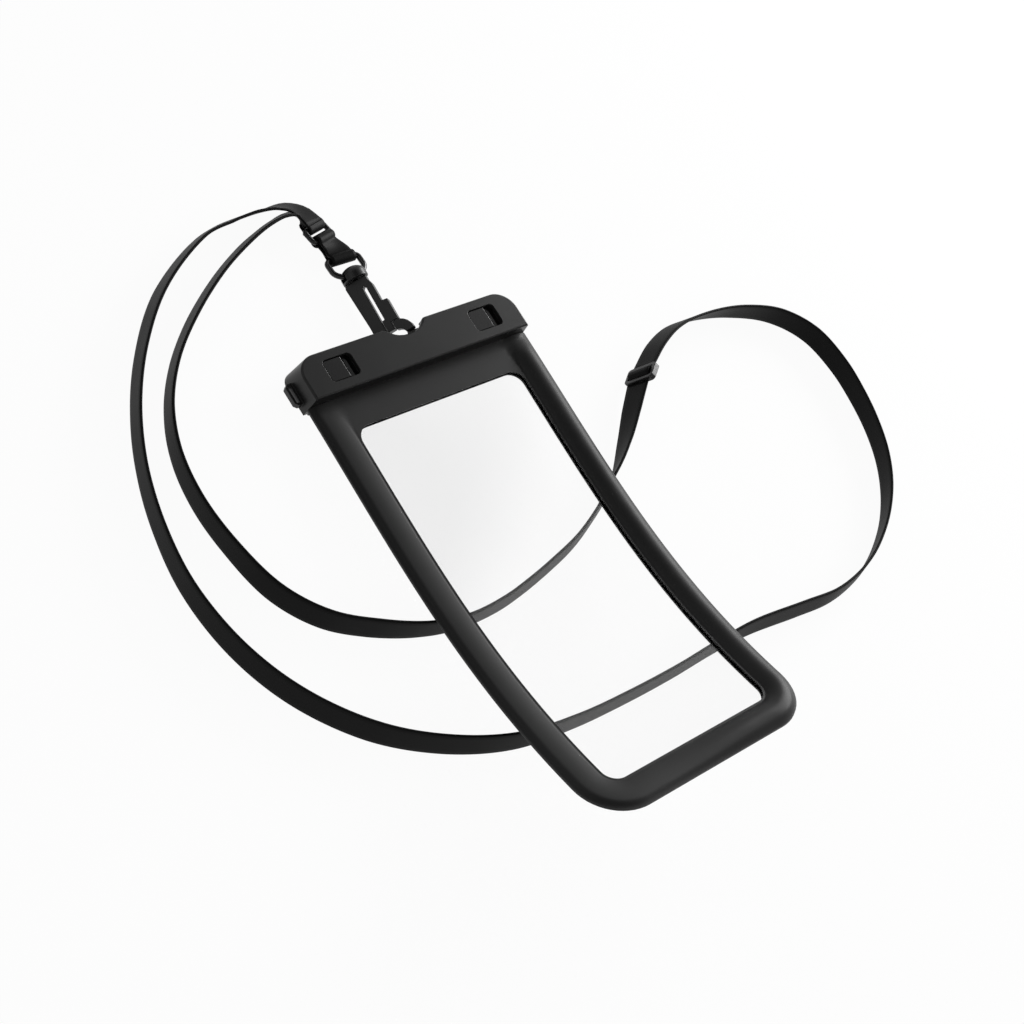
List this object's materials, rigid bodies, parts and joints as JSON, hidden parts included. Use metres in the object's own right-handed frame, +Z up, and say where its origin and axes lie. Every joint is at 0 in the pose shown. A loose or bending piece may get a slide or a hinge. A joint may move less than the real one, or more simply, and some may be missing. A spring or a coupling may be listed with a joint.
{
  "type": "waterproof phone pouch",
  "caption": "Curled waterproof phone pouch with clear windows, a padded rim, a latched clamp across its mouth and a flat neck strap on a plastic snap hook.",
  "frame": {"origin": "centre of the bag and clamp's footprint, on the surface the pouch lies on; the strap lies around it", "axes": "+X across the bag, +Y from the closed end to the clamp, +Z up out of the front window"},
  "size_m": [0.3262, 0.2636, 0.0451],
  "materials": {
    "black_tpu": "fine grained satin sheet",
    "clear_tpu": "clear glossy film",
    "foam": "closed-cell foam",
    "abs": "fine moulded texture",
    "gloss_abs": "polished moulding",
    "silicone": "matte seal strip",
    "nylon": "satin moulding",
    "black_wire": "black lacquered wire",
    "webbing": "coated flat webbing"
  },
  "bodies": {
    "pouch": {"front_cover": "black_tpu", "rear_cover": "black_tpu", "front_window": "clear_tpu", "rear_window": "clear_tpu", "foam_rim": "foam", "clamp_front_bar": "abs", "clamp_rear_bar": "abs", "front_seal": "silicone", "rear_seal": "silicone", "snap_hook": "nylon", "swivel_eye": "nylon", "d_ring": "black_wire", "web_tab": "webbing", "strap_ring": "nylon", "strap_outer": "webbing", "strap_inner": "webbing", "strap_slider": "nylon"},
    "left_latch": {"left_latch": "gloss_abs"},
    "right_latch": {"right_latch": "gloss_abs"}
  },
  "joints": [
    {"name": "left_latch_slide", "type": "slide", "parent": "pouch", "child": "left_latch", "axis": [1, 0, 0], "range_m": [0, 0.0028]},
    {"name": "right_latch_slide", "type": "slide", "parent": "pouch", "child": "right_latch", "axis": [1, 0, 0], "range_m": [0, 0.0028]}
  ]
}
